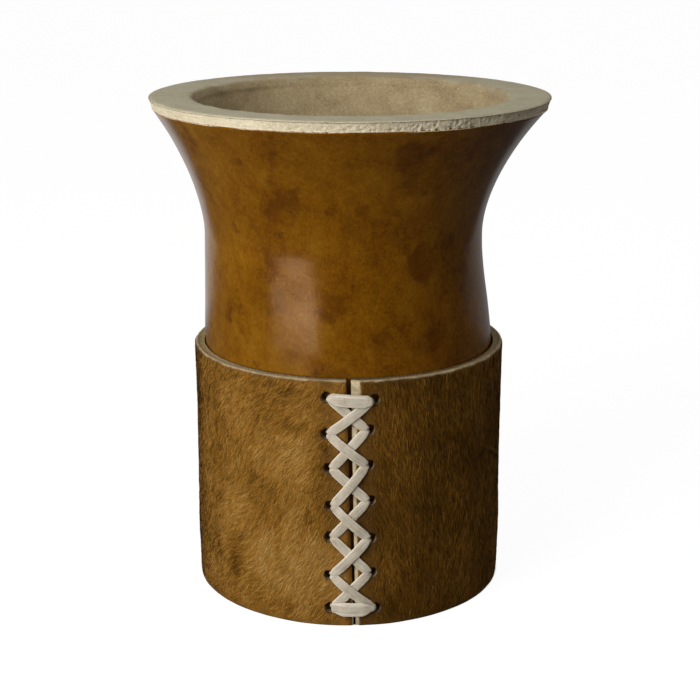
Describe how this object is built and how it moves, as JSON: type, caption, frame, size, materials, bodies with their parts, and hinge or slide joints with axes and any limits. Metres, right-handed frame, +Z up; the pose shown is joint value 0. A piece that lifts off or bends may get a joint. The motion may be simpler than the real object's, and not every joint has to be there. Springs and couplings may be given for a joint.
{
  "type": "mate gourd cup",
  "caption": "Cup made from a dried calabash gourd cut across its flared neck, held in a snug sleeve of hair-on hide that is laced up its front.",
  "frame": {"origin": "middle of the bounding box at the surface the cup stands on", "axes": "+X to the right seen from the laced front, +Y to the back, away from the seam, +Z up to the rim"},
  "size_m": [0.09, 0.09, 0.1135],
  "materials": {
    "gourd_skin": "gloss",
    "hide": "matte",
    "rawhide": "satin"
  },
  "bodies": {
    "root": {"gourd": "gourd_skin", "hide_sleeve": "hide", "lace": "rawhide"}
  },
  "joints": []
}
